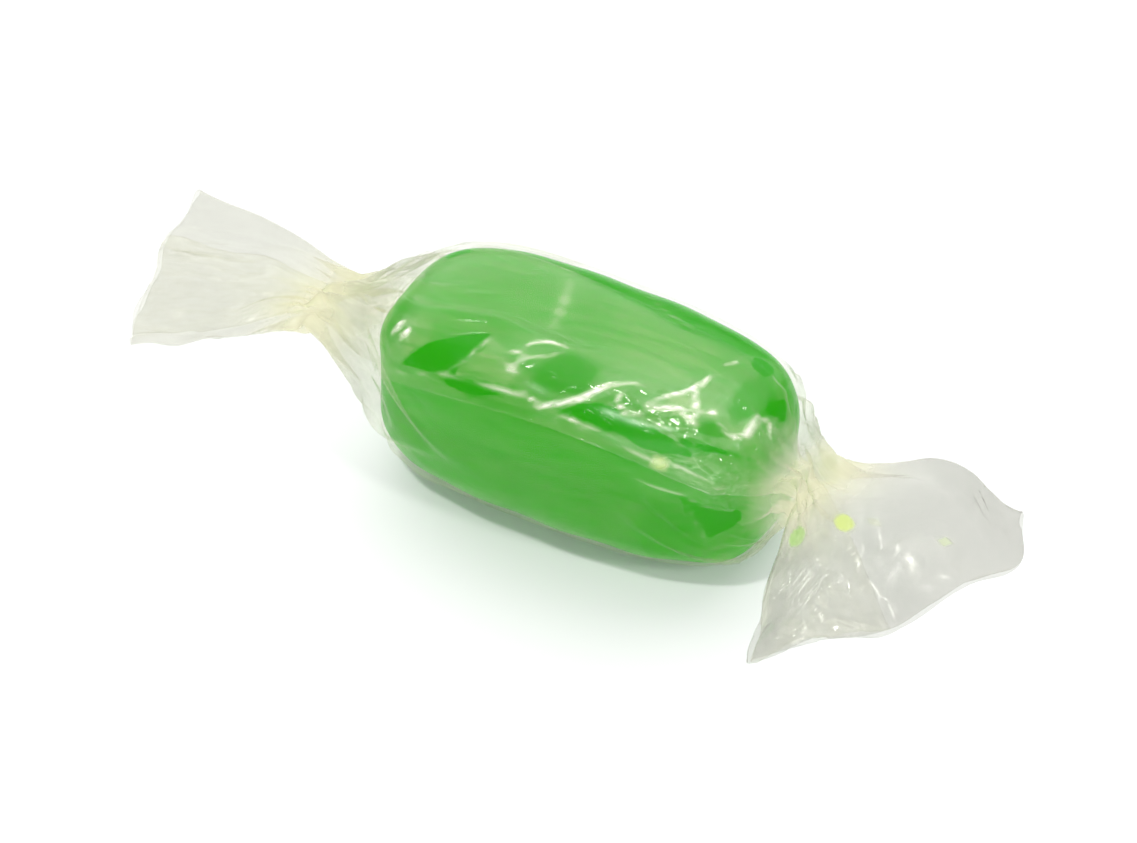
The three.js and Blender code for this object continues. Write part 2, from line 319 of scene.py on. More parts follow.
def leavingPoint(tail, fullRadius, neckRadius, power):
    # where the straight line from the neck touches the bar's outline, found by halving
    neckX = barHalf[0] + tail["beyond"]
    low, high = np.full_like(fullRadius, roll[0] * 0.3), np.full_like(fullRadius, roll[0] * 0.9999)
    for halving in range(40):
        x = (low + high) / 2
        share = shareAt(x, power)
        slope = -((x / roll[0]) ** (power - 1)) / roll[0] * share ** (1 - power)
        inside = share + slope * (neckX - x) > neckRadius / fullRadius
        low, high = np.where(inside, x, low), np.where(inside, high, x)
    return low


def ringPoint(tail, angle):
    # out, side and lift of a point on the ellipse round the neck
    side = -np.cos(angle) * tail["neckWidth"] / 2
    return tail["slant"] * side, side, np.sin(angle) * tail["neckHeight"] / 2


def tailFrame(tail):
    # the neck's middle and the tail's own three directions
    tilt = np.radians(tail["tilt"])
    middle = np.array([tail["direction"] * (barHalf[0] + tail["beyond"]), 0, barMid[2] + tail["neckLift"]])
    out = np.array([tail["direction"], 0, 0])
    side = np.array([0, -np.cos(tilt), -np.sin(tilt)])
    lift = np.array([0, -np.sin(tilt), np.cos(tilt)])
    return middle, out, side, lift


def tailPoint(tail, away, angle, turned):
    # away is 0 at the neck and 1 at the cut edge. The ring opens into a flat loop that follows
    # the rim out and back, and folds run across both of its layers alike
    middle, outward, sideward, upward = tailFrame(tail)
    rim = np.array(tail["rim"])
    step = np.concatenate([[0], np.cumsum(np.hypot(*np.diff(rim, axis=0).T))])
    wrapped = np.abs((turned + np.pi) % (2 * np.pi) - np.pi) / np.pi  # 0 at the back, 1 in front
    rimOut = np.interp(wrapped * step[-1], step, rim[:, 0])
    rimSide = np.interp(wrapped * step[-1], step, rim[:, 1])
    neckOut, neckSide, neckLift = ringPoint(tail, angle)
    out = mix(neckOut, rimOut, away)
    side = mix(neckSide, rimSide, away)
    side = side - tail["backBulge"] * np.sin(np.pi * away) ** 2 * (1 - wrapped) ** 2
    fold = np.sin(2 * np.pi * tail["folds"] * wrapped + 1.3 * np.sin(2.6 * wrapped + 1) + 0.9 * away)
    lift = mix(neckLift, 0.5 * tail["mouth"] * np.sin(turned) * (0.4 + 0.6 * away), smooth(0, 0.8, away))
    lift = lift + tail["foldDepth"] * smooth(0.1, 1, away) * fold - 0.6 * away ** 2
    return middle + out[..., None] * outward + side[..., None] * sideward + lift[..., None] * upward


def gridNormals(points):
    # the direction square to the sheet's rows and columns, away from the bar's long axis
    normal = np.cross(np.gradient(points, axis=0), np.gradient(points, axis=1))
    normal = normal / np.maximum(np.linalg.norm(normal, axis=-1, keepdims=True), 1e-9)
    centre = points - barMid
    centre[..., 0] = 0
    return normal * np.where(np.sum(normal * centre, axis=-1, keepdims=True) < 0, -1, 1)


def rolledSheet(along, angle, edges):
    # smooth roll: the bar's outline between its two leaving points, straight lines to the necks
    y, z = acrossRoll(angle)
    fullRadius = np.hypot(y * roll[1], z * roll[2])
    section = np.abs(y) ** bar["sectionPower"] + np.abs(z) ** bar["sectionPower"]
    power = mix(bar["sidePower"], bar["planPower"], np.abs(y) ** bar["sectionPower"] / section)
    neckRadius, leave = {}, {}
    for name, tail in tails.items():
        w, h = tail["neckWidth"] / 2, tail["neckHeight"] / 2
        neckRadius[name] = 1 / np.hypot(np.cos(angle) / w, np.sin(angle) / h)
        leave[name] = leavingPoint(tail, fullRadius, neckRadius[name], power)
    onBody = np.clip((along - edges[2]) / film["body"], 0, 1)
    x = mix(-leave["left"], leave["right"], onBody)
    radius = fullRadius * shareAt(x, power) * mix(1, narrowing(x), np.cos(angle) ** 2)
    lift, gather = 0, {}
    for name, tail in tails.items():
        start, end = (edges[2], edges[1]) if name == "left" else (edges[3], edges[4])
        gather[name] = np.clip((along - start) / (end - start), 0, 1) + 0 * angle
        out = barHalf[0] + tail["beyond"] - tail["slant"] * neckRadius[name] * np.cos(angle)
        x = mix(x, tail["direction"] * out, gather[name])
        radius = mix(radius, neckRadius[name], gather[name])
        lift = lift + tail["neckLift"] * gather[name]
    points = np.stack([x, radius * np.cos(angle), radius * np.sin(angle) + lift + barMid[2]], axis=-1)
    return points, np.maximum(gather["left"], gather["right"])


def pairLengths(points, down, right):
    # how far each point is from the one so many rows down and columns right of it
    a, b = pairs(points, down, right)
    return np.linalg.norm(b - a, axis=-1)


def pairs(grid, down, right):
    # the two views of a grid that hold the near and the far point of every such pair
    rows, columns = grid.shape[:2]
    near = grid[: rows - down, max(0, -right): columns - max(0, right)]
    far = grid[down:, max(0, right): columns + min(0, right)]
    return near, far


creaseRadius = 8.6  # mm, where degrees round the bar are taken to be mm


def unrolled(x, degrees):
    # a place on the film as mm along and round the bar
    return np.stack([x, np.radians(degrees) * creaseRadius], axis=-1)


def sheetPlace(points):
    # the same for every point of the sheet, from +Y over the top
    degrees = np.degrees(np.arctan2(points[..., 2] - barMid[2], points[..., 1])) % 360
    return unrolled(points[..., 0], degrees)


# where the film clings to the sugar, as corners in mm from the bar's middle and degrees from +Y
# over the top
clings = [
    [(-10.2, 148), (-9.2, 137), (-7.9, 130), (-5.2, 119), (-5.3, 131), (-6.3, 142), (-7.8, 146)],
    [(-6.3, 146), (-4.9, 142), (-2.3, 140), (-2.6, 145), (-4.7, 148)],
    [(1.6, 141), (2.4, 137), (3.9, 132), (5.7, 134), (6.3, 142), (4.7, 142), (2.9, 143)],
    [(5.5, 133), (7.4, 134), (8.7, 136), (10.4, 139), (9.3, 143), (7.6, 144), (6.2, 142)],
    [(9.6, 134), (11.8, 132), (13.6, 130), (13.4, 132), (11.4, 135), (9.9, 136)],
    [(9.9, 164), (11.9, 172), (13.2, 181), (12.9, 195), (11.8, 200), (10.9, 182)],
    [(10.0, 66), (10.7, 62), (11.9, 62), (12.0, 68), (11.6, 73), (10.8, 72)],
    [(12.9, 85), (13.4, 76), (13.9, 81), (13.4, 96), (12.9, 97)],
    [(1.4, 41), (4.2, 44), (5.0, 50), (3.2, 54), (1.8, 50)],
    [(6.6, 48), (9.9, 54), (9.6, 60), (8.0, 58), (6.9, 54)],
    [(-12.6, 58), (-11.4, 50), (-10.8, 62), (-11.8, 70)],
    [(-9.0, 332), (-3.0, 326), (2.5, 330), (0.5, 338), (-5.0, 342)],
    [(4.0, 322), (9.5, 318), (8.0, 334), (5.0, 336)],
    [(-8.0, 8), (-2.0, 4), (-3.0, 12), (-6.5, 16)],
    [(2.0, 352), (7.5, 348), (9.0, 356), (4.0, 360)],
    [(-10.0, 262), (-4.0, 256), (-3.0, 272), (-8.0, 280)],
    [(0.0, 286), (6.0, 280), (7.0, 296), (2.0, 300)],
    [(-4.0, 232), (3.0, 228), (4.0, 242), (-2.0, 246)],
]

# where it lies close without clinging
snug = [[(-12.5, 15), (-12.5, 92), (11.5, 92), (11.5, 15)]]

# where it lies nearer to the sugar or further off it: the same corners, and how much more haze. The patches
# by the left glint and round the star of creases are painted highlight instead
hazeAndGlintPatches = [
    (-0.75, [(-3.6, 56), (-4.6, 30), (3.0, 22), (6.1, 30), (5.4, 68)]),
    (-0.75, [(5.2, 68), (5.6, 28), (12.0, 34), (11.2, 60), (9.5, 69)]),
    (-0.7, [(-0.9, 121), (0.4, 114), (2.8, 117), (2.9, 131), (0.3, 136), (-1.0, 134)]),
    (-0.6, [(10.8, 90), (11.7, 67), (13.2, 80), (13.4, 96), (12.1, 117), (11.3, 111)]),
    (-0.6, [(9.6, 124), (11.6, 118), (11.9, 126), (10.4, 129)]),
    (0.9, [(-5.0, 120), (-1.8, 129), (-2.4, 140), (-6.8, 144)]),
    # painted highlight: a pale facet by the left glint
    (0.7, [(-10.7, 127), (-10.2, 120), (-9.1, 123), (-8.5, 132), (-9.9, 144), (-10.6, 137)]),
    (-0.3, [(-12.4, 118), (-11.2, 112), (-11.0, 140), (-12.0, 146)]),
    # painted highlight round the star of creases
    (2.0, [(6.9, 127), (8.7, 106), (9.9, 122)]),
    (0.5, [(7.0, 124), (8.6, 106), (9.4, 92), (10.9, 112), (10.2, 127)]),
    (0.3, [(11.2, 122), (12.6, 110), (13.6, 108), (13.8, 124), (12.6, 128)]),
    (0.35, [(0.8, 72), (8.6, 70), (8.4, 102), (6.4, 115), (1.6, 112)]),
    (0.3, [(2.2, 78), (7.8, 76), (7.6, 99), (6.2, 109), (2.6, 106)]),
    (-0.35, [(10.4, 173), (11.2, 184), (11.9, 206), (8.0, 214), (7.2, 190), (8.4, 170)]),
    (0.5, [(11.9, 208), (12.8, 198), (13.9, 214), (12.6, 218)]),
    (0.4, [(4.9, 89), (5.3, 87), (5.5, 90), (5.1, 92)]),
]

# single creases: height and half width in mm, how strong the painted highlight along each is, and their
# corners
creases = [
    (0.12, 0.18, 0.45, [(-12.8, 157), (-10.3, 152), (-6.7, 144), (-5.1, 142), (-3.0, 141)]),
    (0.12, 0.22, 0.7, [(-4.6, 142), (-2.3, 141), (-0.4, 140)]),
    (0.02, 0.75, 0.4, [(-3.8, 54), (-2.7, 76), (-2.0, 98), (-2.1, 113)]),
    (0.16, 0.22, 1.0, [(-1.5, 138), (0.3, 142), (1.7, 137), (2.6, 133), (4.0, 123), (5.3, 118),
                       (6.0, 117)]),
    (0.10, 0.2, 0.7, [(1.3, 145), (2.2, 142), (3.2, 144), (4.7, 143)]),
    (0.12, 0.2, 0.6, [(4.7, 143), (6.4, 146), (8.0, 148), (10.1, 147), (12.1, 150), (13.4, 157)]),
    (0.12, 0.18, 0.5, [(6.3, 156), (7.5, 160), (10.2, 164), (12.6, 176)]),
    (0.10, 0.22, 0.3, [(10.4, 170), (12.0, 210)]),
    (0.22, 0.26, 1.0, [(9.2, 90), (8.7, 108), (7.9, 115), (6.6, 126)]),
    (0.20, 0.26, 1.0, [(6.6, 127), (8.8, 121), (10.2, 128)]),
    (0.20, 0.3, 0.9, [(8.6, 104), (9.4, 116), (10.2, 128)]),
    (0.10, 0.2, 0.7, [(9.2, 83), (9.9, 73)]),
    (0.16, 0.45, 1.0, [(10.3, 115), (10.7, 117)]),
    (0.18, 0.26, 0.8, [(10.9, 119), (11.7, 122), (12.5, 124), (13.0, 119), (13.0, 106), (13.4, 97)]),
    (0.12, 0.24, 0.6, [(13.4, 97), (13.7, 106), (14.1, 112)]),
    (0.14, 0.2, 0.9, [(5.2, 122), (4.8, 128), (5.6, 132), (6.6, 131), (6.7, 127)]),
    (0.08, 0.18, 0.5, [(6.8, 130), (8.9, 133), (9.8, 139)]),
    (0.06, 0.2, 0.85, [(-2.5, 123), (-2.2, 118), (-1.2, 113), (-0.1, 112), (0.3, 115)]),
    (0.05, 0.18, 0.6, [(-2.5, 122), (-1.6, 124), (-0.6, 121), (0.3, 114)]),
    (0.10, 0.2, 0.75, [(-3.4, 128), (-2.8, 124), (-1.9, 126), (-2.3, 130), (-3.3, 130)]),
    (0.10, 0.2, 0.6, [(-3.3, 131), (-2.4, 133), (-1.5, 131)]),
    (0.06, 0.2, 0.5, [(-6.8, 143), (-5.6, 134), (-5.0, 121), (-3.6, 128)]),
    (0.18, 0.24, 1.0, [(-11.4, 136), (-11.1, 131), (-10.8, 127)]),
    (0.18, 0.24, 1.0, [(-10.7, 137), (-10.3, 132), (-10.7, 129)]),
    (0.08, 0.2, 0.35, [(0.5, 50), (3.5, 61), (6.1, 67), (9.4, 69)]),
    (0.10, 0.3, 0.25, [(-11.0, 196), (-8.0, 206), (-5.0, 204)]),
    (0.12, 0.3, 0.35, [(-9.0, 20), (-3.0, 10), (2.0, 16), (8.0, 8)]),
    (0.12, 0.3, 0.35, [(-10.0, 342), (-2.0, 348), (5.0, 340), (11.0, 346)]),
    (0.10, 0.3, 0.3, [(-6.0, 300), (0.0, 310), (7.0, 304)]),
    (0.10, 0.3, 0.3, [(-9.0, 240), (1.0, 252), (10.0, 246)]),
]

# folds of the right tail with their painted highlight, the same but with corners in mm along and across the
# flat sheet
tailFolds = [
    (0.12, 0.55, 0.5, [(57.9, 12.2), (57.6, 14.0), (57.2, 16.6)]),
    (0.08, 0.9, 0.4, [(57.3, 10.6), (56.2, 8.4), (55.2, 8.2)]),
    (0.08, 0.7, 0.45, [(58.6, 14.4), (60.0, 15.5), (60.2, 17.0)]),
    (0.06, 0.5, 0.45, [(55.6, 12.0), (56.2, 12.9), (56.6, 12.0), (56.0, 11.4)]),
    (0.06, 1.2, 0.42, [(52.4, 21.0), (53.6, 22.5), (55.0, 23.4)]),
    (0.12, 1.2, 0.15, [(51.5, 4.0), (55.0, 4.4), (59.0, 5.0)]),
    (0.10, 1.4, 0.15, [(52.0, 8.0), (57.0, 7.0), (62.0, 8.0)]),
]

# painted spots of yellow-green light in the film: mm along and across the flat sheet, half sizes in mm
# along X and up, how green they are, and their strength
paintedLightSpecks = [
    (52.9, 11.3, 0.8, 0.6, 0.0, 0.8), (51.8, 5.4, 0.5, 0.8, 0.8, 0.8), (57.7, 19.1, 0.5, 0.5, 0.3, 0.45),
    (54.2, 14.6, 0.6, 0.3, 0.2, 0.3), (37.6, 1.4, 0.55, 0.55, 0.3, 0.5),
]

# where the film is crumpled all over: mm from the bar's middle, degrees, radius in mm, depth in mm
crumples = [
    (8.2, 117, 3.0, 0.13), (4.5, 128, 2.6, 0.09), (-10.6, 133, 1.6, 0.12), (12.0, 105, 2.6, 0.12),
    (-1.5, 124, 2.2, 0.06), (12.5, 150, 2.6, 0.12), (-12.4, 175, 2.0, 0.08), (10.0, 147, 2.6, 0.08),
    (21.5, 196, 3.5, 0.12), (24.0, 188, 3.5, 0.1), (-24.0, 190, 5.0, 0.05),
    (6.0, 20, 5.0, 0.08), (-9.0, 15, 4.0, 0.1), (0.0, 260, 9.0, 0.06), (-4.0, 330, 6.0, 0.07),
]


def insideBy(place, corners):
    # mm that a place lies inside a patch with corners in mm and degrees: the least of its
    # distances to the lines through them, and less than 0 outside
    corner = unrolled(*np.array(corners, dtype=float).T)
    middle = corner.mean(axis=0)
    deepest = np.inf
    for start, end in zip(corner, np.roll(corner, -1, axis=0)):
        inward = np.array([start[1] - end[1], end[0] - start[0]])
        inward = inward / np.linalg.norm(inward) * np.sign((middle - start) @ inward)
        deepest = np.minimum(deepest, (place - start) @ inward)
    return deepest


def contact(place, patches):
    # mm inside the nearest of some patches
    return np.clip(np.max([insideBy(place, patch) for patch in patches], axis=0), -1.5, 1.5)


def hazeAndGlint(place):
    # the haze there as a share of what is usual, raised as painted highlight in the glint patches
    return 1 + sum(more * smooth(-0.2, 0.2, insideBy(place, patch)) for more, patch in hazeAndGlintPatches)


def creaseAt(place, lines):
    # height of single creases and the painted highlight along them, all in mm: each fades to its two ends
    height, paintedGlint = 0, 0
    for high, wide, glintShare, corners in lines:
        corner = np.array(corners, dtype=float)
        step = np.linalg.norm(np.diff(corner, axis=0), axis=1)
        before = np.cumsum(step) - step
        crest = 0
        for start, end, past, length in zip(corner[:-1], corner[1:], before, step):
            way = end - start
            share = np.clip((place - start) @ way / (way @ way), 0, 1)
            aside = np.linalg.norm(place - start - share[..., None] * way, axis=-1)
            fade = np.sin(np.pi * (0.12 + 0.76 * (past + share * length) / step.sum()))
            crest = np.maximum(crest, fade * np.exp(-((aside / wide) ** 1.5)))
        height, paintedGlint = height + high * crest, np.maximum(paintedGlint, glintShare * crest)
    return height, paintedGlint


# which points pull at each other: rows down and columns right, and how firmly they draw together
# when stretched and push apart when pressed
linkKinds = [
    (1, 0, 1.0, 0.5), (0, 1, 1.0, 0.5), (1, 1, 0.7, 0.3), (1, -1, 0.7, 0.3),
    (2, 0, 0.3, 0.3), (0, 2, 0.3, 0.3), (4, 0, 0.2, 0.1), (0, 4, 0.2, 0.1),
]


def settle(points, sizes, hold, home, margin, steps):
    # the film settles: every pair of points is drawn to its length in the flat sheet, firmly
    # where it is stretched and softly where it is pressed, and stays off the bar and the table.
    # Where it clings it is drawn onto the bar as well
    place = sheetPlace(points)
    stuck = np.maximum(smooth(-0.4, 0.2, contact(place, clings)),
                       film["snugness"] * smooth(-0.5, 1, contact(place, snug)))[..., None]
    alongStep, roundStep = sizes
    links = []
    for down, right, stretched, pressed in linkKinds:
        a, b = pairs(alongStep, down, right)
        c, d = pairs(roundStep, down, right)
        length = np.hypot(down * (a + b) / 2, right * (c + d) / 2)[..., None]
        links.append((down, right, stretched, pressed, length))
    was = points.copy()
    for step in range(steps):
        move = np.zeros_like(points)
        for down, right, stretched, pressed, length in links:
            a, b = pairs(points, down, right)
            gap = b - a
            far = np.sqrt(np.sum(gap * gap, axis=-1, keepdims=True)) + 1e-9
            pull = gap * ((far - length) / far * np.where(far > length, stretched, pressed) * 0.5)
            near, other = pairs(move, down, right)
            near += pull
            other -= pull
        momentum = film["momentum"] * (points - was)
        was = points.copy()
        points = points + momentum + move * film["give"]
        points = mix(points, home, hold)
        points = offBar(points, margin, stuck)
        points[..., 2] = np.maximum(points[..., 2], film["underside"])
    return points


def offBar(points, margin, stuck):
    # a point inside the bar grown by its margin goes straight out to that bar's surface, and a
    # stuck one outside comes a little nearer to it
    x, y, z = np.moveaxis((points - barMid) / (barHalf + margin[..., None]), -1, 0)
    size = np.maximum(barSize(x, y / narrowing(points[..., 0]), z), 0.2)[..., None]
    surface = barMid + (points - barMid) / size
    return mix(points, surface, np.where(size < 1, 1, film["suction"] * stuck))


def doubled(grid):
    # a grid with a new point between every two, by the curve through the four round it
    for axis in (0, 1):
        g = np.moveaxis(grid, axis, 0)
        padded = np.concatenate([2 * g[:1] - g[1:2], g, 2 * g[-1:] - g[-2:-1]])
        between = (9 * (padded[1:-2] + padded[2:-1]) - padded[:-3] - padded[3:]) / 16
        finer = np.empty((2 * len(g) - 1,) + g.shape[1:])
        finer[::2], finer[1::2] = g, between
        grid = np.moveaxis(finer, 0, axis)
    return grid


def ripple(a, b, count, longest, seed):
    # even noise over a and b in mm: waves of random direction, length and start, added up
    draw = np.random.default_rng(seed)
    total = 0
    for wave in range(count):
        length = longest * 0.4 ** draw.random()
        way, start = draw.random(2) * 2 * np.pi
        total = total + np.sin(2 * np.pi * (a * np.cos(way) + b * np.sin(way)) / length + start)
    return total / np.sqrt(count / 2)


def crumpled(points, along, across, upper):
    # creases: the crests of a few folded waves, as deep as the crumples round each point ask,
    # and the single ones on the upper layer, with the painted highlight along those and along the tail's
    # folds
    place = sheetPlace(points)
    share = np.abs(points[..., 0]) / barHalf[0]
    atEnds = smooth(0.95, 1.05, share) * (1 - smooth(1.05, 1.15, share))
    depth = film["fineDepth"] + film["endDepth"] * atEnds
    wayRound = 2 * np.pi * creaseRadius
    for x, turn, reach, deep in crumples:
        aside = place - unrolled(x, turn)
        aside[..., 1] -= wayRound * np.round(aside[..., 1] / wayRound)
        depth = depth + deep * np.exp(-np.sum(aside ** 2, axis=-1) / reach ** 2)
    crests = 0
    for longest, seed, part in film["fineWaves"]:
        wave = np.abs(ripple(along, across, 9, longest, seed))
        crests = crests + part * (1 - np.minimum(wave, 1)) ** 1.5
    onBar = [(high, wide, glintShare, unrolled(*np.array(corners, dtype=float).T))
             for high, wide, glintShare, corners in creases]
    single, paintedGlint = creaseAt(place, onBar)
    folds, glintShare = creaseAt(np.stack([along, across], axis=-1), tailFolds)
    height = depth * (crests - 0.25) + single * upper + folds
    crumple = np.clip(depth / 0.15, 0, 1)
    return points + gridNormals(points) * height[..., None], crumple, np.maximum(paintedGlint * upper, glintShare)


def speckled(points, along, across):
    # how much of the film's colour is a painted spot of light's, and how green: an oval round each one's
    # middle
    cover, green = 0 * along, 0 * along
    for speckAlong, speckAcross, wide, high, greener, strength in paintedLightSpecks:
        layer = np.abs(across - speckAcross)
        nearest = np.argmin(np.hypot(along - speckAlong, layer))
        middle = points[np.unravel_index(nearest, along.shape)]
        aside = np.sqrt(np.sum((points - middle) ** 2 / (wide ** 2, high ** 2, high ** 2), axis=-1))
        here = strength * (1 - smooth(0.75, 1.15, aside)) * (layer < 6)  # not on the other layer
        cover, green = np.maximum(cover, here), np.where(here > cover, greener, green)
    return cover, green


def stepSizes(points):
    # how far it is from each point to the next one along and round the sheet
    alongStep, roundStep = pairLengths(points, 1, 0), pairLengths(points, 0, 1)
    return (np.concatenate([alongStep, alongStep[-1:]]),
            np.concatenate([roundStep, roundStep[:, -1:]], axis=1))


def spreadTails(points, along, angle, flat, wave, edges):
    # the rows beyond each neck become its tail. Also how firmly each point is held in its place
    hold = np.zeros_like(angle)
    for name, tail in tails.items():
        past = edges[1] - along if name == "left" else along - edges[4]
        away = np.clip(past / tail["length"], 0, 1) + 0 * angle
        spread = tailPoint(tail, away, angle, flat + np.radians(tail["twist"]))
        centre, outward = tailFrame(tail)[:2]
        inward = spread - centre
        inward = inward - (inward @ outward)[..., None] * outward
        inward = inward / (np.linalg.norm(inward, axis=-1, keepdims=True) + 1e-6)
        depth = film["pleatDepth"] * wave * (1 - smooth(0, 0.45, away))
        points = np.where((past > 0)[..., None], spread - inward * depth[..., None], points)
        hold = np.maximum(hold, np.exp(-(past / 0.7) ** 2) + 0 * angle)
        hold = np.maximum(hold, 0.004 * (past > 0))
    return points, hold


def hazeFields(points, along, across, upper, edges):
    # how milky the film is, how near to a neck and how near to a cut edge
    share = points[..., 0] / barHalf[0]
    milk = np.maximum(0.6 * smooth(0.88, 1.06, -share), smooth(0.94, 1.13, share))
    neck = sum(np.exp(-((along - edge) / film["neckReach"]) ** 2) for edge in (edges[1], edges[4]))
    cutEnd = np.exp(-np.minimum(along, edges[-1] - along) / 0.2)
    rim = np.maximum(np.exp(-across / 0.25), 0.15 * cutEnd)
    return milk * mix(0.15, 1, upper), neck, rim


def filmSheet():
    # a rolled and gathered sheet whose points run along and round it, left to settle on a coarse
    # grid and on one twice as fine, and then creased
    left, right = tails["left"], tails["right"]
    edges = np.cumsum([0, left["length"], left["cone"], film["body"], right["cone"], right["length"]])
    along = np.linspace(0, edges[-1], film["rows"])[:, None]
    v = np.linspace(0, 1, film["columns"])[None, :]
    fromMiddle = (along - (edges[2] + edges[3]) / 2) / (film["body"] / 2)
    shares, degrees = np.array(film["lap"]).T
    turn = 360 + sum(np.interp(fromMiddle + shift, shares, degrees) for shift in (-0.2, 0, 0.2)) / 3
    flat = np.radians(film["lapEdge"] - v * turn)
    angle = flat + np.radians(film["endTurn"]) * smooth(0, 2, np.abs(fromMiddle)) * 2
    lap = 1 - 360 / turn
    outer = 1 - smooth(lap * 1.02, lap * 1.5, v)  # 1 where it is the lap's outer layer
    points, gathered = rolledSheet(along, angle, edges)
    outward = gridNormals(points)
    points = points + outward * film["layer"] * outer[..., None]

    # sizes of the flat sheet: its steps round are those of the bar's middle
    byLap = np.exp(-((v - 0.02) / 0.09) ** 2) + np.exp(-((v - 0.02 - 360 / turn) / 0.07) ** 2)
    slackness = film["loose"] + film["looseAtLap"] * byLap * mix(0.3, 1, smooth(-0.8, 0.1, fromMiddle))
    alongStep, roundStep = stepSizes(points)
    alongStep = alongStep * (1 + slackness)
    roundStep = roundStep * (1 + film["looseRound"])
    middle = film["rows"] // 2
    flatStep = roundStep[middle] * turn / turn[middle]
    roundStep = roundStep * (1 + film["looseAtEnds"] * smooth(0.5, 1, np.abs(fromMiddle)))
    onTail = (along < edges[1]) | (along > edges[4])
    tight = 1 - 0.015 * smooth(0.05, 0.4, gathered)
    alongStep = np.where(onTail, edges[-1] / (film["rows"] - 1), alongStep * tight)

    # pleats run from the bar's ends into the necks and fade in the tails
    rough = 1.1 * np.sin(3 * angle + 0.5) + 0.9 * np.sin(5 * angle + 2.2) + 0.5 * np.sin(2 * angle)
    wave = 0.5 - 0.5 * np.cos(film["pleats"] * angle + rough)
    points = points - outward * (film["pleatDepth"] * gathered ** 1.6 * wave)[..., None]
    points, hold = spreadTails(points, along, angle, flat, wave, edges)
    ownAlong, ownRound = stepSizes(points)
    roundStep = mix(roundStep, ownRound * (1 + film["looseRound"]), smooth(0.3, 0.9, gathered))
    alongStep = mix(alongStep, ownAlong, film["drawn"] * smooth(0.4, 1, gathered))
    hold = np.maximum(hold, 0.02 * smooth(0.1, 0.5, gathered))
    across = np.cumsum(flatStep, axis=1)
    stir = film["stir"] * ripple(along, across, *film["stirWaves"])
    points = points + gridNormals(points) * (stir * (1 - hold))[..., None]
    margin = film["slack"] * 0.4 + film["layer"] * outer
    upper = 1 - smooth(360 / turn - 0.01, 360 / turn + 0.01, v)  # 0 under the lap
    steps = [max(1, s // (1)) for s in film["steps"]]
    home = points.copy()
    points = settle(points, (alongStep, roundStep), hold[..., None], home, margin, steps[0])

    # the same on the finer grid
    fields = (alongStep / 2, roundStep / 2, hold, margin, upper, across)
    fields = [doubled(field[..., None])[..., 0] for field in fields]
    alongStep, roundStep, hold, margin, upper, across = fields
    points, home = doubled(points), doubled(home)
    points = settle(points, (alongStep, roundStep), hold[..., None], home, margin, steps[1])
    along = np.linspace(0, edges[-1], points.shape[0])[:, None] + 0 * across
    place = sheetPlace(points)
    points, crumple, paintedGlint = crumpled(points, along, across, upper)
    points[..., 2] = np.maximum(points[..., 2], film["underside"])
    paintedLightSpeck, green = speckled(points, along, across)
    milk, neck, rim = hazeFields(points, along, across, upper, edges)
    return points, along, across, {
        "milk": milk, "neck": neck, "contact": contact(place, clings), "hazeAndGlint": hazeAndGlint(place), "rim": rim,
        "crumple": crumple, "paintedGlint": paintedGlint, "paintedLightSpeck": paintedLightSpeck, "green": green}


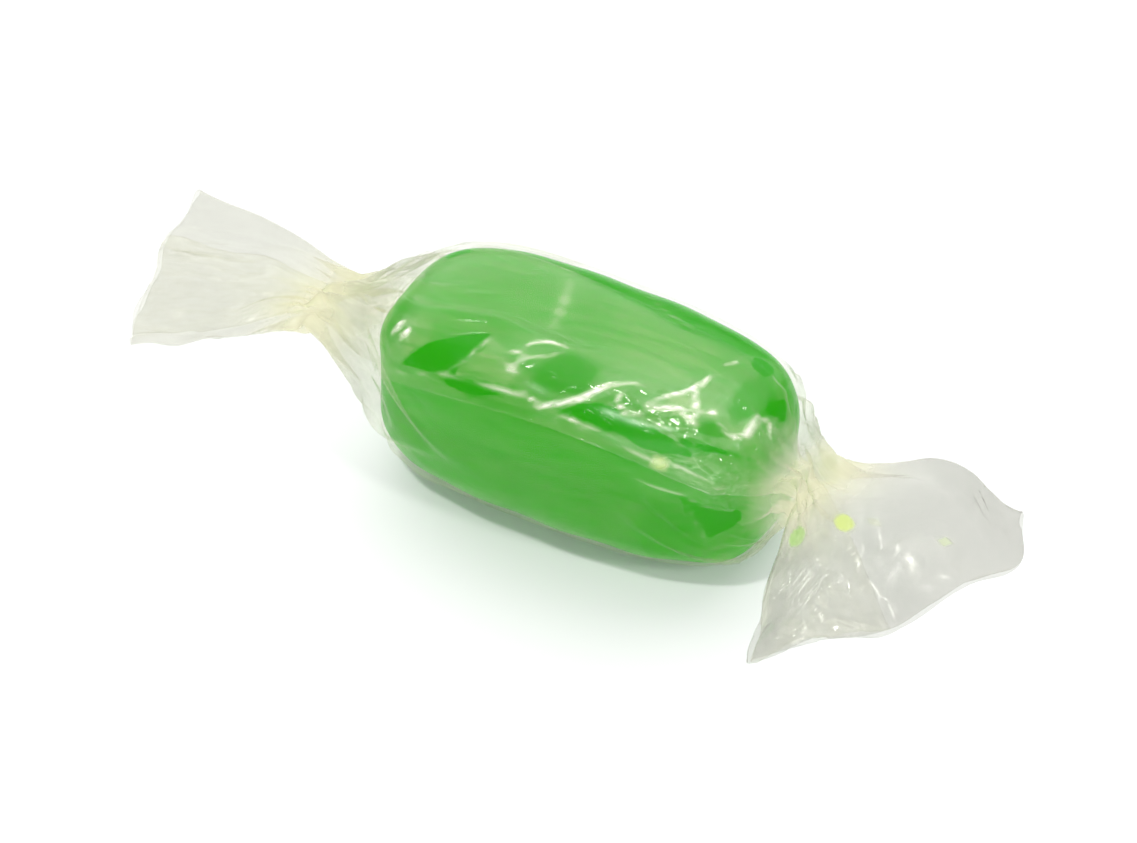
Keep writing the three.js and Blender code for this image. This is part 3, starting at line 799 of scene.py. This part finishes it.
def filmMaterial():
    # clear where it is tight on the bar, milky where it is creased, and lost where it clings
    material, tree = newMaterial("clearFilm")
    output = addNode(tree, "ShaderNodeOutputMaterial")
    milk, neck, crumple = (readField(tree, name) for name in ("milk", "neck", "crumple"))
    # the painted highlight on the creases, the painted spots of light, and the haze share that the painted
    # highlight patches raise
    paintedGlint, paintedLightSpeck, hazeAndGlintShare = (readField(tree, name) for name in ("paintedGlint", "paintedLightSpeck", "hazeAndGlint"))
    place = addNode(tree, "ShaderNodeUVMap").outputs[0]

    # the patches that cling have a ragged edge
    noise = addNode(tree, "ShaderNodeTexNoise", noise_dimensions="2D", Scale=45.0, Detail=2.0,
                    Roughness=0.6)
    tree.links.new(place, noise.inputs["Vector"])
    uneven = mapRange(tree, noise.outputs[0], 0.3, 0.7, -0.15, 0.35)
    ragged = math(tree, "ADD", readField(tree, "contact"), uneven)
    cling = mapRange(tree, ragged, -0.05, 0.05, 0, 1, "SMOOTHSTEP")
    free = math(tree, "SUBTRACT", 1.0, cling)

    # fine streaks along it, and facets where it is crumpled, as bump
    streaks = addNode(tree, "ShaderNodeTexNoise", noise_dimensions="2D", Scale=90.0, Detail=3.0,
                      Roughness=0.6)
    stretch = addNode(tree, "ShaderNodeMapping")
    stretch.inputs["Scale"].default_value = (0.35, 1.6, 1)
    tree.links.new(place, stretch.inputs["Vector"])
    tree.links.new(stretch.outputs[0], streaks.inputs["Vector"])
    facets = addNode(tree, "ShaderNodeTexVoronoi", voronoi_dimensions="2D",
                     feature="DISTANCE_TO_EDGE", Scale=75.0)
    tree.links.new(place, facets.inputs["Vector"])
    fold = mapRange(tree, facets.outputs["Distance"], 0, 0.35, 1, 0, "SMOOTHSTEP")
    fold = math(tree, "MULTIPLY", math(tree, "MULTIPLY", fold, crumple), 1.2)
    height = math(tree, "ADD", math(tree, "MULTIPLY", streaks.outputs[0], 0.35), fold)
    bump = addNode(tree, "ShaderNodeBump", Distance=film["bump"] * mm)
    tree.links.new(height, bump.inputs["Height"])
    soft = math(tree, "MAXIMUM", math(tree, "MULTIPLY", milk, 1.4), math(tree, "MULTIPLY", neck, 1.5))
    tree.links.new(mapRange(tree, soft, 0, 1, 0.8, 0.1), bump.inputs["Strength"])

    # light goes straight through, a little dimmed where it is milky
    clear = addNode(tree, "ShaderNodeBsdfTransparent")
    milky = math(tree, "MULTIPLY", milk, mapRange(tree, neck, 0, 1, 1, 0))
    tint = mixColour(tree, milky, film["clearTint"], film["milkyTint"])
    tree.links.new(tint, clear.inputs["Color"])

    # or glances off, more so edge on and on crumpled film, less where it clings or is close
    gloss = addNode(tree, "ShaderNodeBsdfGlossy", Color=film["glossTint"])
    tree.links.new(bump.outputs[0], gloss.inputs["Normal"])
    tree.links.new(mapRange(tree, milky, 0, 1, *film["roughness"]), gloss.inputs["Roughness"])
    weight = addNode(tree, "ShaderNodeLayerWeight", Blend=0.5)
    tree.links.new(bump.outputs[0], weight.inputs["Normal"])
    edge = math(tree, "POWER", weight.outputs["Facing"], 4.0)
    shine = math(tree, "ADD", mapRange(tree, edge, 0, 1, *film["shine"]),
                 math(tree, "MULTIPLY", crumple, film["crumpledShine"]))
    shine = math(tree, "MULTIPLY", shine, mapRange(tree, cling, 0, 1, 1, 0.15))
    shine = math(tree, "MULTIPLY", shine, mapRange(tree, hazeAndGlintShare, 0.25, 1, 0.2, 1))

    # or is caught by haze and cut edges, with painted highlight along the creases and painted spots of
    # yellow-green light
    colour = mixColour(tree, milk, film["hazeColour"], film["milkyColour"])
    colour = mixColour(tree, neck, colour, film["neckColour"])
    # painted highlight along the creases
    colour = mixColour(tree, paintedGlint, colour, film["paintedGlintColour"])
    # painted spots of yellow-green light
    paintedLightColour = mixColour(tree, readField(tree, "green"), *film["paintedLightColours"])
    colour = mixColour(tree, paintedLightSpeck, colour, paintedLightColour)
    haze = addNode(tree, "ShaderNodeBsdfDiffuse")
    through = addNode(tree, "ShaderNodeBsdfTranslucent")
    tree.links.new(colour, haze.inputs["Color"])
    tree.links.new(colour, through.inputs["Color"])
    # painted highlight creases take no light through from behind, so they stay white
    backlit = mapRange(tree, paintedGlint, 0, 0.4, 0.4, 0)
    haze = mixShader(tree, backlit, haze.outputs[0], through.outputs[0])
    streaky = math(tree, "MULTIPLY_ADD", mapRange(tree, streaks.outputs[0], 0.3, 0.75, -0.6, 0.7),
                   mapRange(tree, soft, 0, 1, 1, 0.08), 1.0)
    amount = math(tree, "ADD", math(tree, "MULTIPLY_ADD", milk, film["milkyHaze"], film["haze"]),
                  math(tree, "MULTIPLY", neck, film["neckHaze"]))
    cloud = math(tree, "MULTIPLY", streaky, amount)
    cloud = math(tree, "MULTIPLY", math(tree, "MULTIPLY", cloud, hazeAndGlintShare), free)
    rim = math(tree, "MULTIPLY", readField(tree, "rim"), film["rimHaze"])
    # the painted highlight along the creases, broken up by the streaks
    broken = mapRange(tree, streaks.outputs[0], 0.35, 0.6, 0.6, 1.1)
    glintLine = math(tree, "MULTIPLY", math(tree, "POWER", paintedGlint, 2.0), broken)
    for least in (rim, glintLine, math(tree, "MULTIPLY", paintedLightSpeck, film["paintedLightHaze"])):
        cloud = math(tree, "MAXIMUM", cloud, least)
    body = mixShader(tree, cloud, clear.outputs[0], haze)
    tree.links.new(mixShader(tree, shine, body, gloss.outputs[0]), output.inputs["Surface"])
    return material


sheetPoints, sheetAlong, sheetAcross, filmFields = filmSheet()
uvScale = 0.01  # UV 1 is 100 mm of film
sheetUv = np.stack([sheetAlong, sheetAcross], axis=-1).reshape(-1, 2) * uvScale
wrap = addMesh("filmWrap", sheetPoints.reshape(-1, 3), gridQuads(*sheetPoints.shape[:2]),
               filmMaterial(), sheetUv, filmFields)
wall = wrap.modifiers.new("wall", "SOLIDIFY")
wall.thickness = film["wall"] * mm
wall.offset = 0
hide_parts("wrapper")
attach(wrap, "root")
wrap.visible_shadow = wrap.visible_diffuse = False  # so thin a film hardly dims what is under it
print("film made", sheetPoints.shape)


# the table, the camera and the light, in mm, degrees and watts
table = {"size": 3000.0, "colour": (0.86, 0.86, 0.86, 1), "roughness": 0.9}
view = {
    "elevation": 42.0,
    "azimuth": 29.5,  # the bar's far end is turned away by this much
    "distance": 300.0,
    "target": (-1.0, -1.0, 6.0),
    "width": 74.0,  # mm across the frame at the target
    "sensor": 36.0,
    "nearest": 10,
}
light = {
    "world": 0.4,
    "aim": (0, 0, 6),
    # each softbox: place, width and height, power
    "topSoftbox": ((-200, 500, 600), (1400, 1000), 6.5),
    "keySoftbox": ((-60, -130, 380), (36, 36), 0.5),
    "frontSoftbox": ((120, -500, 260), (500, 300), 1.2),
    "sideSoftbox": ((380, -60, 300), (60, 120), 0.5),
}


def tableMaterial():
    material, tree = newMaterial("paleTable")
    output = addNode(tree, "ShaderNodeOutputMaterial")
    shader = addNode(tree, "ShaderNodeBsdfPrincipled")
    shader.inputs["Base Color"].default_value = table["colour"]
    shader.inputs["Roughness"].default_value = table["roughness"]
    tree.links.new(shader.outputs[0], output.inputs["Surface"])
    return material


def addCamera():
    data = bpy.data.cameras.new("camera")
    data.sensor_width = view["sensor"]
    data.lens = data.sensor_width * view["distance"] / view["width"]
    data.dof.use_dof = False
    data.clip_start = view["nearest"] * mm
    camera = bpy.data.objects.new("camera", data)
    bpy.context.collection.objects.link(camera)
    e, a = np.radians(view["elevation"]), np.radians(view["azimuth"])
    away = np.array([np.sin(a) * np.cos(e), -np.cos(a) * np.cos(e), np.sin(e)])
    target = np.array(view["target"])
    camera.location = (target + away * view["distance"]) * mm
    camera.rotation_euler = Vector(-away).to_track_quat("-Z", "Y").to_euler()
    bpy.context.scene.camera = camera


def addSoftbox(name):
    place, size, power = light[name]
    data = bpy.data.lights.new(name, "AREA")
    data.shape = "RECTANGLE"
    data.size, data.size_y = size[0] * mm, size[1] * mm
    data.energy = power
    lamp = bpy.data.objects.new(name, data)
    bpy.context.collection.objects.link(lamp)
    lamp.location = np.array(place) * mm
    way = Vector(np.array(light["aim"]) - np.array(place))
    lamp.rotation_euler = way.to_track_quat("-Z", "Y").to_euler()


def addWorld():
    world = bpy.data.worlds.new("studio")
    world.use_nodes = True
    background = world.node_tree.nodes["Background"]
    background.inputs["Color"].default_value = (1, 1, 1, 1)
    background.inputs["Strength"].default_value = light["world"]
    bpy.context.scene.world = world


tablePoints = np.array([(-1, -1, 0), (1, -1, 0), (1, 1, 0), (-1, 1, 0)]) * table["size"] / 2
floor = addMesh("table", tablePoints, np.array([[0, 1, 2, 3]]), tableMaterial())
addCamera()
addWorld()
for name in ("topSoftbox", "keySoftbox", "frontSoftbox", "sideSoftbox"):
    addSoftbox(name)

scene = bpy.context.scene
scene.view_settings.view_transform = "Standard"
scene.cycles.transparent_max_bounces = 48
scene.cycles.max_bounces = 8
scene.cycles.transmission_bounces = 6
print("table, camera and light made")
